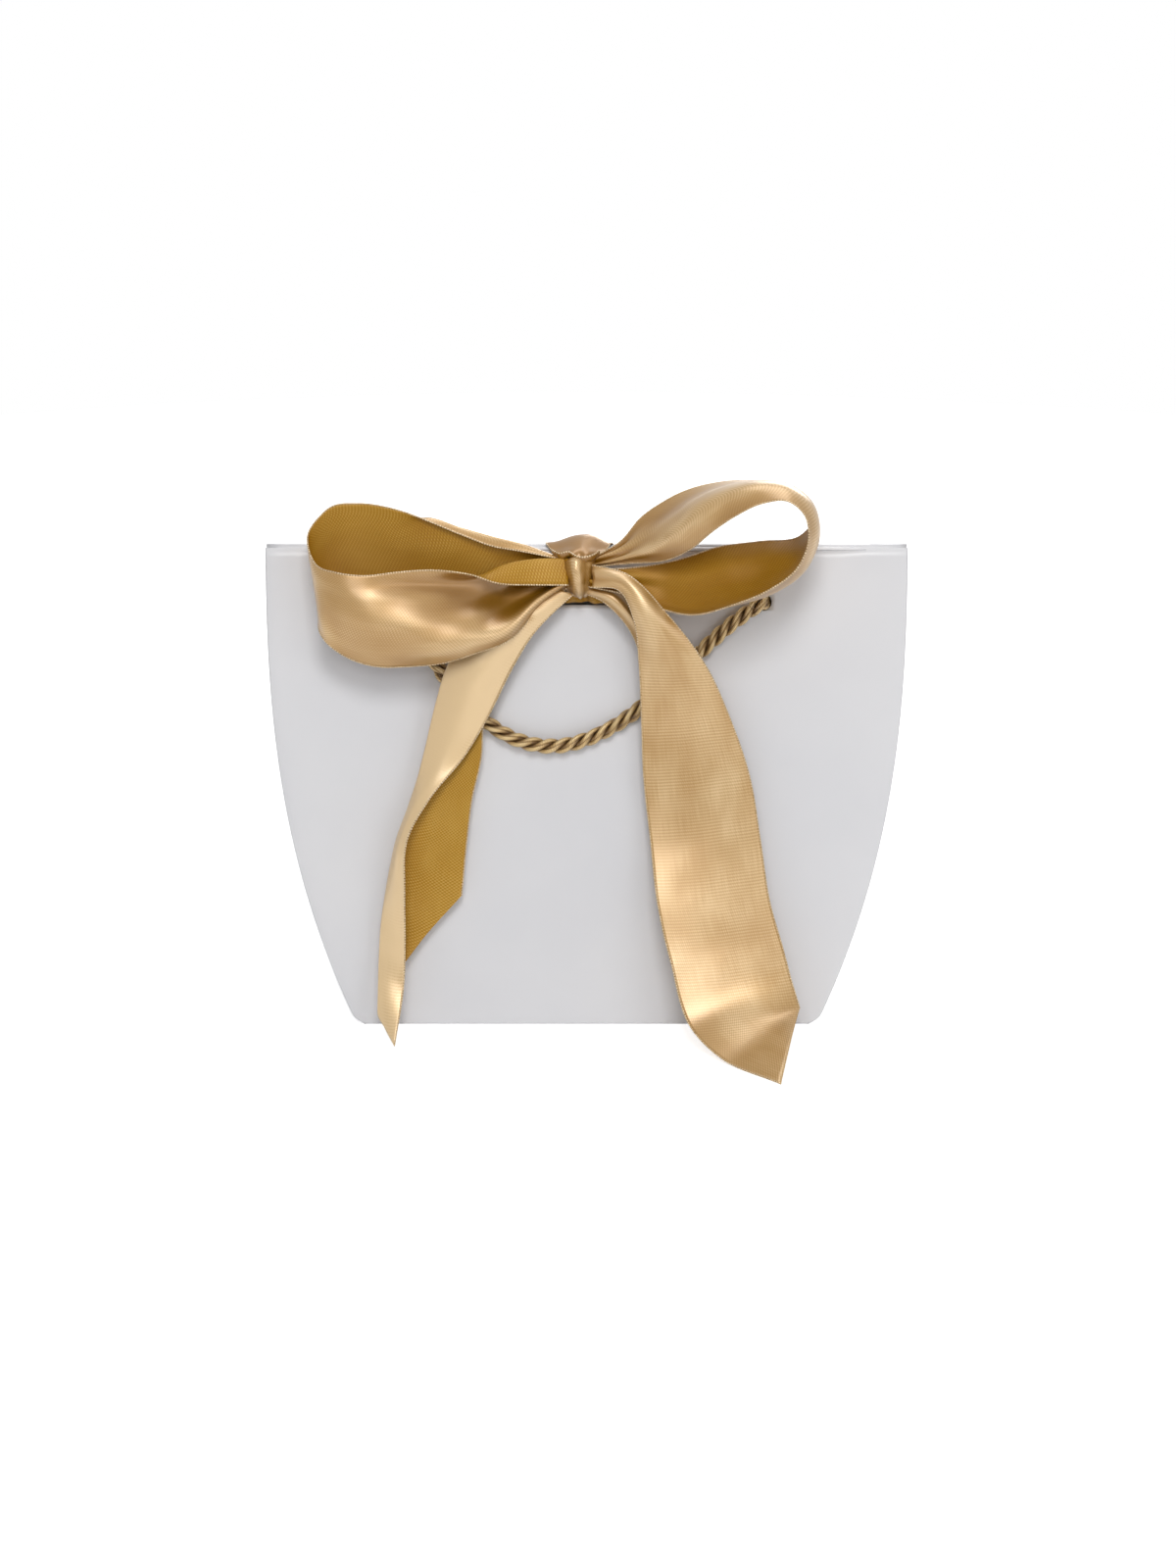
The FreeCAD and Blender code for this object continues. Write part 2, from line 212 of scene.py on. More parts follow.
class Maker:
    """A material's nodes, added one at a time and linked as they are named."""

    def __init__(self, name, base, roughness, **shader_values):
        self.material = bpy.data.materials.new(name)
        self.material.use_nodes = True
        self.nodes = self.material.node_tree.nodes
        self.links = self.material.node_tree.links
        self.shader = self.nodes["Principled BSDF"]
        self.shader.inputs["Base Color"].default_value = (*base, 1)
        self.shader.inputs["Roughness"].default_value = roughness
        for key, value in shader_values.items():
            self.shader.inputs[key.replace("_", " ")].default_value = value

    def node(self, kind, settings=(), **inputs):
        node = self.nodes.new("ShaderNode" + kind)
        for key, value in dict(settings).items():
            setattr(node, key, value)
        for key, value in inputs.items():
            numbered = key[1:].isdigit()
            socket = node.inputs[int(key[1:]) if numbered else key.replace("_", " ")]
            if isinstance(value, bpy.types.NodeSocket):
                self.links.new(value, socket)
            else:
                socket.default_value = value
        return node

    def math(self, operation, first, second=0.0):
        return self.node("Math", {"operation": operation}, i0=first, i1=second).outputs[0]

    def mapped(self, vector, scale):
        return self.node("Mapping", Vector=vector, Scale=scale).outputs["Vector"]

    def uv(self, name):
        return self.node("UVMap", {"uv_map": name}).outputs["UV"]

    def object_place(self):
        return self.node("TexCoord").outputs["Object"]

    def noise(self, vector, scale, detail=2.0, roughness=0.5):
        made = self.node("TexNoise", Vector=vector, Scale=scale, Detail=detail, Roughness=roughness)
        return made.outputs["Fac"]

    def ramp(self, value, stops):
        made = self.node("ValToRGB", Fac=value)
        elements = made.color_ramp.elements
        for element, (place, colour) in zip(elements, (stops[0], stops[-1])):
            element.position = place
            element.color = (*colour, 1)
        for place, colour in stops[1:-1]:
            elements.new(place).color = (*colour, 1)
        return made.outputs["Color"]

    def bump(self, *layers):
        """Adds height layers of (height, strength, distance in metres), the coarsest first."""
        normal = None
        for height, strength, distance in layers:
            made = self.node("Bump", Height=height, Strength=strength, Distance=distance)
            if normal:
                self.links.new(normal, made.inputs["Normal"])
            normal = made.outputs["Normal"]
        self.links.new(normal, self.shader.inputs["Normal"])

    def feed(self, value, socket):
        self.links.new(value, self.shader.inputs[socket])


def paper_material():
    m = Maker("white_card", (0.8, 0.8, 0.82), 0.38, Coat_Weight=0.12, Coat_Roughness=0.22)
    place = m.object_place()
    cloud = m.noise(place, 14.0, 3.0)
    m.feed(m.ramp(cloud, [(0.3, (0.725, 0.725, 0.75)), (0.7, (0.77, 0.767, 0.785))]), "Base Color")
    fibre = m.noise(place, 2600.0, 2.0, 0.6)
    swell = m.noise(place, 26.0, 1.0)
    rough = m.node("MapRange", Value=m.noise(place, 90.0, 3.0), To_Min=0.34, To_Max=0.44)
    m.feed(rough.outputs["Result"], "Roughness")
    m.bump((swell, 0.35, 0.0006), (fibre, 0.12, 0.00006))
    return m.material


def board_material():
    m = Maker("stiff_board", (0.56, 0.54, 0.5), 0.85)
    place = m.object_place()
    fleck = m.noise(place, 900.0, 4.0, 0.7)
    m.feed(m.ramp(fleck, [(0.35, (0.47, 0.45, 0.41)), (0.65, (0.62, 0.6, 0.56))]), "Base Color")
    m.bump((m.noise(place, 1500.0, 3.0), 0.4, 0.0001))
    return m.material


RIBBON_UV = "Ribbon"


def weave(m, vector, across, along):
    """Threads that cross over and under, with so many to the metre across and along the ribbon."""
    split = m.node("SeparateXYZ", Vector=vector)
    warp = m.math("MULTIPLY", split.outputs["X"], 2 * math.pi * across)
    weft = m.math("MULTIPLY", split.outputs["Y"], 2 * math.pi * along)
    lean = m.math("ADD", weft, m.math("MULTIPLY", warp, 0.5))
    crossed = m.math("MULTIPLY", m.math("SINE", warp), m.math("SINE", lean))
    return m.math("ADD", m.math("MULTIPLY", crossed, 0.5), 0.5)


def satin_material(name, low, middle, high, roughness, metallic, coat, weave_depth, painted_shade_share):
    """Woven satin: float threads, a fine weave, and colour that runs from high to low in the gathers, as
    painted shade.
    """
    m = Maker(
        name, middle, roughness, Metallic=metallic, Specular_IOR_Level=0.3, Anisotropic=0.45,
        Sheen_Weight=0.06, Sheen_Roughness=0.35, Sheen_Tint=(1.0, 0.86, 0.62, 1),
        Coat_Weight=coat, Coat_Roughness=0.3, Coat_IOR=1.8,
    )
    uv = m.uv(RIBBON_UV)
    streak = m.noise(m.mapped(uv, (2600.0, 60.0, 1.0)), 1.0, 2.0, 0.6)
    cloud = m.noise(m.mapped(uv, (38.0, 26.0, 1.0)), 1.0, 2.0)
    threads = weave(m, uv, 600.0, 720.0)
    tone = m.math("ADD", m.math("MULTIPLY", streak, 0.3), m.math("MULTIPLY", cloud, 0.7))
    tone = m.math("ADD", tone, m.math("MULTIPLY", m.math("SUBTRACT", threads, 0.5), 0.6 * weave_depth))
    painted_shade = m.node("Attribute", {"attribute_name": "painted_shade"}).outputs["Fac"]
    # Painted shade: the baked shade values darken the tone towards the low colour
    tone = m.math("SUBTRACT", tone, m.math("MULTIPLY", painted_shade, painted_shade_share))
    m.feed(m.ramp(tone, [(0.02, low), (0.5, middle), (0.85, high)]), "Base Color")
    rough = m.node("MapRange", Value=streak, To_Min=roughness - 0.05, To_Max=roughness + 0.07)
    m.feed(rough.outputs["Result"], "Roughness")
    m.links.new(
        m.node("Tangent", {"direction_type": "UV_MAP", "uv_map": RIBBON_UV}).outputs[0],
        m.shader.inputs["Tangent"],
    )
    m.bump((cloud, 0.25, 0.0006), (streak, 0.12, 0.0002), (threads, 0.4 * weave_depth, 0.0001))
    return m.material


def bead_material():
    m = Maker("selvage_thread", (0.8, 0.62, 0.38), 0.4, Metallic=0.2, Sheen_Weight=0.3)
    speck = m.noise(m.object_place(), 1400.0, 2.0)
    # Painted shade: the necks between the beads are darker
    between = m.node("Attribute", {"attribute_name": "painted_shade"}).outputs["Fac"]
    tone = m.math("SUBTRACT", speck, m.math("MULTIPLY", between, 0.45))
    stops = [(0.0, (0.2, 0.11, 0.03)), (0.35, (0.66, 0.48, 0.26)), (0.7, (0.92, 0.8, 0.6))]
    m.feed(m.ramp(tone, stops), "Base Color")
    m.bump((speck, 0.3, 0.0001))
    return m.material


ROPE_UV = "Rope"


def rope_material():
    m = Maker(
        "gold_rope", (0.6, 0.42, 0.17), 0.34, Metallic=0.3, Specular_IOR_Level=0.4,
        Anisotropic=0.3, Coat_Weight=0.4, Coat_Roughness=0.3, Coat_IOR=1.7,
    )
    uv = m.uv(ROPE_UV)
    split = m.node("SeparateXYZ", Vector=uv)
    slope = m.math("ADD", split.outputs["Y"], m.math("MULTIPLY", split.outputs["X"], 0.45))
    ribs = m.math("SINE", m.math("MULTIPLY", slope, 2 * math.pi * 1500.0))
    grain = m.noise(m.mapped(uv, (700.0, 1800.0, 1.0)), 1.0, 2.0)
    ribs = m.math("ADD", m.math("MULTIPLY", ribs, 0.5), 0.5)
    tone = m.math("ADD", m.math("MULTIPLY", ribs, 0.35), m.math("MULTIPLY", grain, 0.3))
    # Painted shade: the yarns are darker towards the rope's middle, in the gaps between strands, and lighter
    # outside
    outward_painted_light = m.node("Attribute", {"attribute_name": "outward_painted_light"}).outputs["Fac"]
    tone = m.math("ADD", tone, m.math("MULTIPLY", outward_painted_light, 0.45))
    stops = [(0.25, (0.045, 0.016, 0.003)), (0.55, (0.36, 0.2, 0.05)), (0.95, (0.84, 0.65, 0.33))]
    m.feed(m.ramp(tone, stops), "Base Color")
    m.bump((ribs, 0.6, 0.00018), (grain, 0.3, 0.0001))
    return m.material


# ---- curves and surfaces


def smooth(points, count):
    """count places along a smooth curve through points, or along a row of curves side by side."""
    points = np.asarray(points, float)
    steps = norm(np.diff(points, axis=0), axis=-1)
    steps = np.maximum(steps.reshape(len(points) - 1, -1).mean(axis=1), 1e-6)
    knots = np.concatenate([[0], np.cumsum(steps)])
    wide = (slice(None),) + (None,) * (points.ndim - 1)
    runs = np.diff(points, axis=0) / steps[wide]
    slopes = np.concatenate([runs[:1], runs])
    before, after = steps[:-1][wide], steps[1:][wide]
    slopes[1:-1] = (runs[1:] * before + runs[:-1] * after) / (before + after)
    at = np.linspace(0, knots[-1], count)
    k = np.clip(np.searchsorted(knots, at, side="right") - 1, 0, len(steps) - 1)
    span = steps[k][wide]
    t = ((at - knots[k]) / steps[k])[wide]
    return (
        points[k] * (2 * t ** 3 - 3 * t ** 2 + 1)
        + slopes[k] * span * (t ** 3 - 2 * t ** 2 + t)
        + points[k + 1] * (3 * t ** 2 - 2 * t ** 3)
        + slopes[k + 1] * span * (t ** 3 - t ** 2)
    )


def smooth_surface(stations, along, across):
    """A grid through stations, each of which lists places from one edge to the other."""
    lengthwise = smooth(stations, along)
    return smooth(lengthwise.transpose(1, 0, 2), across).transpose(1, 0, 2)


def grid_normals(grid, closed=False):
    if closed:
        across = np.roll(grid, -1, axis=1) - np.roll(grid, 1, axis=1)
    else:
        across = np.gradient(grid, axis=1)
    normals = np.cross(np.gradient(grid, axis=0), across)
    return normals / np.maximum(norm(normals, axis=-1, keepdims=True), 1e-9)


def lengths_along(places):
    """How far each place of a path, or of each column of a grid, is from the first."""
    steps = norm(np.diff(places, axis=0), axis=-1)
    return np.concatenate([np.zeros((1,) + steps.shape[1:]), np.cumsum(steps, axis=0)])


def quads(rows, columns, closed=False):
    """The faces of a grid of places. A closed grid's last column meets its first."""
    faces = []
    for row in range(0, (rows - 1) * columns, columns):
        for j in range(columns if closed else columns - 1):
            a, b = row + j, row + (j + 1) % columns
            faces.append((a, b, b + columns, a + columns))
    return faces


def joined(places, faces):
    """Several parts' vertices and faces, as one part's."""
    starts = np.cumsum([0] + [len(part) for part in places]).tolist()
    moved = [tuple(start + k for k in face) for start, own in zip(starts, faces) for face in own]
    return np.concatenate(places), moved


def grid_noise(grid, scale, seed):
    """Smooth noise from -1 to 1 at each place of a grid, with features about scale long."""
    places = grid.reshape(-1, 3) / scale + seed * 7.31
    values = [noise.noise(Vector(place)) for place in places]
    return np.array(values).reshape(grid.shape[:2])


def mesh_object(name, vertices, faces, material_of=None, materials=()):
    mesh = bpy.data.meshes.new(name)
    mesh.from_pydata([tuple(v) for v in np.asarray(vertices) * MM], [], faces)
    for material in materials:
        mesh.materials.append(material)
    if material_of is not None:
        mesh.polygons.foreach_set("material_index", np.asarray(material_of, dtype=np.int32))
    mesh.shade_smooth()
    mesh.update()
    made = bpy.data.objects.new(name, mesh)
    bpy.context.collection.objects.link(made)
    return made


def set_uv(mesh, name, values):
    """Gives each corner its vertex's place in values, in metres."""
    layer = mesh.uv_layers.new(name=name)
    corners = np.zeros(len(mesh.loops), dtype=np.int32)
    mesh.loops.foreach_get("vertex_index", corners)
    layer.uv.foreach_set("vector", (np.asarray(values)[corners] * MM).astype(np.float32).ravel())


def set_value(mesh, name, values):
    attribute = mesh.attributes.new(name, "FLOAT", "POINT")
    attribute.data.foreach_set("value", np.asarray(values, dtype=np.float32).ravel())


def two_sided(grid, near, far, closed=False):
    """A sheet's vertices, faces and face sides: layers near and far along its normals, and its rim."""
    rows, columns = grid.shape[:2]
    normals = grid_normals(grid, closed)
    vertices = np.concatenate([(grid + normals * h).reshape(-1, 3) for h in (near, far)])
    size = rows * columns
    faces, sides = [], []
    for a, b, c, d in quads(rows, columns, closed):
        faces += [(a, b, c, d), (a + size, d + size, c + size, b + size)]
        sides += [0, 1]
    rim = [list(range(columns)), [(rows - 1) * columns + j for j in range(columns)][::-1]]
    if closed:
        rim = [line + line[:1] for line in rim]
    else:
        rim.append([i * columns for i in range(rows)][::-1])
        rim.append([i * columns + columns - 1 for i in range(rows)])
    for line in rim:
        for a, b in zip(line, line[1:]):
            faces.append((b, a, a + size, b + size))
            sides.append(2)
    return vertices, faces, sides


def tube(path, radii, segments=6):
    """A tube's vertices and faces round a path, with its ends closed."""
    _, first, second = carried_frame(path)
    turn = np.arange(segments) * 2 * math.pi / segments
    rings = (
        path[:, None]
        + first[:, None] * (np.cos(turn)[None, :, None] * radii[:, None, None])
        + second[:, None] * (np.sin(turn)[None, :, None] * radii[:, None, None])
    )
    faces = quads(len(path), segments, closed=True)
    last = (len(path) - 1) * segments
    faces.append(tuple(range(segments))[::-1])
    faces.append(tuple(last + j for j in range(segments)))
    return rings.reshape(-1, 3), faces


def carried_frame(path):
    """A path's tangents, and two directions square to each, carried along without turning."""
    ahead = np.gradient(path, axis=0)
    ahead /= norm(ahead, axis=1, keepdims=True)
    start = np.cross(ahead[0], [0.0, 0.0, 1.0])
    if norm(start) < 0.1:
        start = np.cross(ahead[0], [1.0, 0.0, 0.0])
    first = [start / norm(start)]
    for direction in ahead[1:]:
        moved = first[-1] - direction * first[-1].dot(direction)
        first.append(moved / norm(moved))
    first = np.array(first)
    return ahead, first, np.cross(ahead, first)


def evenly(path, spacing):
    """A path's places, evenly spaced."""
    distance = lengths_along(path)
    count = max(3, int(round(distance[-1] / spacing)) + 1)
    at = np.linspace(0, distance[-1], count)
    return np.stack([np.interp(at, distance, path[:, k]) for k in range(3)], axis=1)


# ---- the paper bag

PANEL_COLUMNS = 60
GUSSET_COLUMNS = 14
SWELL, SWELL_TOP = 1.1, 150.0
RIPPLE, RIPPLE_PLACE = 0.35, 3.1
SAG, SAG_TOP = 2.2, 120.0
CUT_REACH = 8.0
CIRCLE_POINTS = 40


def panel_swell(x, v):
    """How far the card bows outwards: a soft swell low on the panel, and almost none by the handles."""
    across = max(0.0, 1 - (x / half_width(v)) ** 2)
    low = math.sin(math.pi * min(1.0, v / SWELL_TOP)) * SWELL if v < SWELL_TOP else 0.0
    ripple = noise.noise(Vector((x / 55.0, v / 48.0, RIPPLE_PLACE))) * RIPPLE
    return across * (low + ripple * float(fade(v, 0, 20)) * (1 - 0.7 * float(fade(v, 100, SWELL_TOP))))


def mouth_rise(x, v):
    """How much higher the mouth's edge is beyond the ends of the turned-in hem."""
    return RISE * float(fade(abs(x), *RISE_ENDS) * fade(v, RISE_BOTTOM, SHELL_TOP))


def ring(v):
    """The bag's outline at a level, once round: front, right gusset, back, left gusset."""
    depth = HALF_DEPTH - v * LEAN_SIN
    under = ROUND * max(0.0, 1 - v / ROUND) ** 2
    wide = half_width(v)
    fold = math.sqrt(max(HALF_DEPTH ** 2 - depth ** 2, 0)) * min(1, v / CREASE_START) ** 0.5
    sag = SAG * math.sin(math.pi * min(1.0, v / SAG_TOP)) if v < SAG_TOP else 0.0
    level = v * LEAN_COS
    front = []
    for x in np.linspace(-wide + ROUND, wide - ROUND, PANEL_COLUMNS):
        front.append((x, -(depth - under) - panel_swell(x, v), level))
    gusset = []
    for t in np.linspace(0, 1, GUSSET_COLUMNS):
        inward = fold * (1 - abs(1 - 2 * t)) - sag * math.sin(2 * math.pi * t) ** 2
        gusset.append((wide - inward, (2 * t - 1) * (depth - ROUND * 0.6), level))
    gusset = [(wide - 0.25 * ROUND, -(depth - 0.25 * ROUND) + under, level)] + gusset
    gusset.append((wide - 0.25 * ROUND, depth - 0.25 * ROUND - under, level))
    back = [(-x, -y, z) for x, y, z in front]
    left = [(-x, -y, z) for x, y, z in gusset]
    return [(x, y, z + mouth_rise(x, v)) for x, y, z in front + gusset + back + left]


def cutters():
    """What makes the ribbon slots and the handle holes: bars square to each panel."""
    vertices, faces = [], []
    low, high = SLOT_V - SLOT_HEIGHT / 2, SLOT_V + SLOT_HEIGHT / 2
    wide = SLOT_HALF_WIDTH
    outlines = [[(-wide, low), (wide, low), (wide, high), (-wide, high)]]
    turns = np.arange(CIRCLE_POINTS) * 2 * math.pi / CIRCLE_POINTS
    circle = [(HOLE_RADIUS * math.cos(turn), HOLE_RADIUS * math.sin(turn)) for turn in turns]
    for centre in (-HOLE_X, HOLE_X):
        outlines.append([(centre + x, HOLE_V + v) for x, v in circle])
    for side in (FRONT, BACK):
        for outline in outlines:
            count = len(outline)
            start = len(vertices)
            for h in (-CUT_REACH / 2, CUT_REACH / 2):
                vertices += [panel_point(x, v, h, side) for x, v in outline]
            faces.append(tuple(start + k for k in range(count)))
            faces.append(tuple(start + count + k for k in range(count))[::-1])
            for k in range(count):
                n = (k + 1) % count
                faces.append((start + n, start + k, start + count + k, start + count + n))
    made = mesh_object("cutters", vertices, faces)
    bm = bmesh.new()
    bm.from_mesh(made.data)
    bmesh.ops.recalc_face_normals(bm, faces=bm.faces)
    bm.to_mesh(made.data)
    bm.free()
    return made


def cut(piece, tool):
    modifier = piece.modifiers.new("cut", "BOOLEAN")
    modifier.operation = "DIFFERENCE"
    modifier.solver = "EXACT"
    modifier.object = tool
    bpy.context.view_layer.update()
    evaluated = piece.evaluated_get(bpy.context.evaluated_depsgraph_get())
    mesh = bpy.data.meshes.new_from_object(evaluated)
    piece.modifiers.clear()
    piece.data = mesh


def paper_shell(material, tool):
    lower = [0, 0.3, 0.7, 1.2, 2.0, 3.5, 5.5]
    levels = lower + list(np.linspace(8.5, SHELL_TOP, 54))
    grid = np.array([ring(v) for v in levels])
    vertices, faces, _ = two_sided(grid, 0.0, PAPER, closed=True)
    shell = mesh_object("paper_shell", vertices, faces, materials=[material])
    cut(shell, tool)
    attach(shell, "bag")
    halves = [f"{hand}_gusset_{end}_half" for hand in ("left", "right") for end in ("front", "back")]
    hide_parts("front_panel", "back_panel", *halves)


def top_hem(name, side, material, tool):
    """The mouth's turned-in edge: over the board in a half round, then down inside."""
    columns = []
    for x in np.linspace(-HEM_END, HEM_END, 101):
        thinned = float(np.clip((abs(x) - HEM_THINS_FROM) / HEM_THINS_OVER, 0, 1))
        radius = FOLD_RADIUS - HEM_THINS_BY * thinned
        swell = panel_swell(x, SHELL_TOP)
        column = []
        for turn in np.linspace(0, math.pi, 9):
            h = swell - radius + radius * math.cos(turn)
            column.append(panel_point(x, SHELL_TOP + radius * math.sin(turn), h, side))
        for v in np.linspace(SHELL_TOP, HEM_BOTTOM, 14)[1:]:
            ripple = 0.12 * noise.noise(Vector((x / 20.0, v / 12.0, 1.7)))
            column.append(panel_point(x, v, -2 * radius + ripple, side))
        columns.append(column)
    grid = np.array(columns).transpose(1, 0, 2)
    near, far = (-PAPER, 0.0) if side == FRONT else (0.0, PAPER)
    vertices, faces, _ = two_sided(grid, near, far)
    hem = mesh_object(name + "_fold", vertices, faces, materials=[material])
    cut(hem, tool)
    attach(hem, "bag")
    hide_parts(name)


def dress_cad_nodes(paper, board):
    """The card and board pieces whose CAD shape is right keep it, with a better finish."""
    card = ["base_front_flap", "base_back_flap", "base_left_flap", "base_right_flap", "side_glue_tab"]
    boards = ["base_card", "front_reinforcement", "back_reinforcement"]
    for names, material in ((card, paper), (boards, board)):
        for name in names:
            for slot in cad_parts[name].material_slots:
                slot.link = "OBJECT"
                slot.material = material


# ---- rope handles

# The front handle's route, as (x, v, h) from inside one hole to inside the other
ROPE_ROUTE = [
    (HOLE_X, HOLE_V, -4.5), (HOLE_X, HOLE_V, 1), (76.6, 187.9, 5.2), (70.5, 183.8, 4.4),
    (59, 175, ROPE_OUT), (25, 141.4, ROPE_OUT), (1.5, 127.5, ROPE_OUT),
    (-16.5, 123.5, ROPE_OUT), (-35, 127.9, ROPE_OUT), (-52.5, 142, ROPE_OUT),
    (-65, 159, ROPE_OUT), (-72, 173.5, ROPE_OUT),
    (-75.6, 181.8, 4.4), (-76.9, 187.6, 5.2), (-HOLE_X, HOLE_V, 1), (-HOLE_X, HOLE_V, -4.5),
]
# The length of rope at each hole that is made as a root piece, apart from the main run.
ROOT_LENGTH = 14.0
ROPE_STEP = 0.7
KNOT_SIZE, KNOT_LIFT, KNOT_INSIDE = 4.9, 0.8, 4.95
KNOT_ROPE, KNOT_PITCH = 4.2, 13.0


def route_line(name, points):
    """The places along a NURBS curve with points as its control points."""
    data = bpy.data.curves.new(name, "CURVE")
    data.dimensions = "3D"
    data.resolution_u = 24
    spline = data.splines.new("NURBS")
    spline.points.add(len(points) - 1)
    for point, place in zip(spline.points, points):
        point.co = (*(place * MM), 1)
    spline.order_u = 3
    spline.use_endpoint_u = True
    holder = bpy.data.objects.new(name, data)
    bpy.context.collection.objects.link(holder)
    bpy.context.view_layer.update()
    mesh = bpy.data.meshes.new_from_object(holder)
    line = np.array([v.co[:] for v in mesh.vertices]) / MM
    bpy.data.objects.remove(holder)
    bpy.data.meshes.remove(mesh)
    return line


def laid_rope(path, diameter, pitch):
    """A rope's path, its yarns' centre lines and radius, and the distance along it. Each of its three
    strands has two yarns that are twisted the other way."""
    ahead, first, second = carried_frame(path)
    distance = lengths_along(path)
    strand_radius = diameter / 2 / (1 + 1 / math.sin(math.pi / STRANDS))
    orbit = diameter / 2 - strand_radius
    lines = []
    for strand in range(STRANDS):
        turn = -2 * math.pi * distance / pitch + strand * 2 * math.pi / STRANDS
        out = first * np.cos(turn)[:, None] + second * np.sin(turn)[:, None]
        side = np.cross(ahead, out)
        for yarn in range(YARNS):
            own = 2 * math.pi * distance / (pitch * YARN_PITCH) + yarn * 2 * math.pi / YARNS
            turned = out * np.cos(own)[:, None] + side * np.sin(own)[:, None]
            lines.append(path + out * orbit + turned * strand_radius * YARN_ORBIT)
    return path, lines, strand_radius * YARN_RADIUS, distance


def rope_piece(name, laid, rows, material, taper=(False, False)):
    """One piece of a laid rope, a tube for each yarn, with its first or last end tapered in."""
    path, yarns, radius, distance = laid
    places, faces, uv, outward_painted_light = [], [], [], []
    for line in yarns:
        part = line[rows]
        radii = np.full(len(part), radius)
        if taper[0]:
            radii[:2] *= [0.3, 0.8]
        if taper[1]:
            radii[-2:] *= [0.8, 0.3]
        yarn, yarn_faces = tube(part, radii, YARN_SIDES)
        places.append(yarn)
        faces.append(yarn_faces)
        # How far out each place is: it sets the painted shade in the gaps between strands
        away = norm(yarn.reshape(len(part), YARN_SIDES, 3) - path[rows][:, None], axis=-1)
        outward_painted_light.append(away.ravel() / away.max())
        around = np.arange(YARN_SIDES) / YARN_SIDES * 2 * math.pi * radius
        along, across = np.meshgrid(distance[rows], around, indexing="ij")
        uv.append(np.stack([across, along], axis=-1).reshape(-1, 2))
    made = mesh_object(name, *joined(places, faces), materials=[material])
    set_uv(made.data, ROPE_UV, np.concatenate(uv))
    set_value(made.data, "outward_painted_light", fade(np.concatenate(outward_painted_light), 0.5, 1.0))
    return made


def handle(end, side, material):
    """A hanging handle: a main run that swings, and a root at each hole."""
    route = [panel_point(x, v, h, side) for x, v, h in ROPE_ROUTE]
    path = evenly(route_line(end + "_route", route), ROPE_STEP)
    laid = laid_rope(path, ROPE_DIAMETER, ROPE_PITCH)
    root = int(round(ROOT_LENGTH / ROPE_STEP))
    count = len(path)
    body = end + "_handle"
    main = rope_piece(end + "_handle_cord", laid, slice(root, count - root), material)
    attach(main, body)
    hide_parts(end + "_handle_rope")
    for hand, hole_x, rows, last, taper in (
        ("right", HOLE_X, slice(0, root + 1), root - 3, (True, False)),
        ("left", -HOLE_X, slice(count - root - 1, count), count - root + 2, (False, True)),
    ):
        piece = rope_piece(f"{end}_{hand}_rope_root", laid, rows, material, taper)
        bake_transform(piece)
    knots = [stop_knot(end, hand, side, material) for hand in ("left", "right")]


def stop_knot(end, hand, side, material):
    """The handle's end, knotted against the board inside the bag."""
    sign = -1 if hand == "left" else 1
    centre = panel_point(sign * HOLE_X, HOLE_V, -KNOT_INSIDE, side)
    up = panel_point(0, 1, 0, side) - panel_point(0, 0, 0, side)
    out = panel_point(0, 0, 1, side) - panel_point(0, 0, 0, side)
    turns = np.linspace(0, 2 * math.pi, 120)
    trefoil = [np.sin(turns) + 2 * np.sin(2 * turns), np.cos(turns) - 2 * np.cos(2 * turns)]
    flat = np.stack(trefoil, axis=1) / 3.0
    lift = -np.sin(3 * turns)
    line = centre + flat[:, :1] * KNOT_SIZE * np.array([1.0, 0, 0]) + flat[:, 1:] * KNOT_SIZE * up
    line = line + lift[:, None] * KNOT_LIFT * out
    laid = laid_rope(line, KNOT_ROPE, KNOT_PITCH)
    piece = rope_piece(f"{end}_{hand}_knot", laid, slice(0, len(line)), material)
    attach(piece, "bag")
    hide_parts(f"{end}_{hand}_stop_knot")
    return piece


# ---- ribbon


def selvage(line):
    """A row of fine thread beads along a ribbon's edge."""
    path = evenly(line, BEAD_PITCH / 2)
    radii = np.where(np.arange(len(path)) % 2 == 0, BEAD_RADIUS, BEAD_NECK)
    return tube(path, radii, BEAD_SIDES)


def curving(grid):
    """How a surface curves, from -1, a ridge on its +normal side, to 1, a valley."""
    bend = np.zeros(grid.shape)
    for axis in (0, 1):
        step = norm(np.gradient(grid, axis=axis), axis=-1).mean()
        bend += np.gradient(np.gradient(grid, axis=axis), axis=axis) / step ** 2
    value = (bend * grid_normals(grid)).sum(axis=-1)
    for _ in range(6):
        wider = np.pad(value, 1, mode="edge")
        value = (wider[:-2, 1:-1] + wider[2:, 1:-1] + wider[1:-1, :-2] + wider[1:-1, 2:] + value) / 5
    return np.clip(value * PAINTED_SHADE_BEND, -1, 1)


def look_out_rays():
    """Directions over a half ball about +Z, more of them near the middle."""
    rays = []
    for tilt, count in ((22, 3), (45, 5), (66, 5)):
        for turn in np.arange(count) * 2 * math.pi / count + tilt:
            flat = math.sin(math.radians(tilt))
            rays.append((flat * math.cos(turn), flat * math.sin(turn), math.cos(math.radians(tilt))))
    return rays


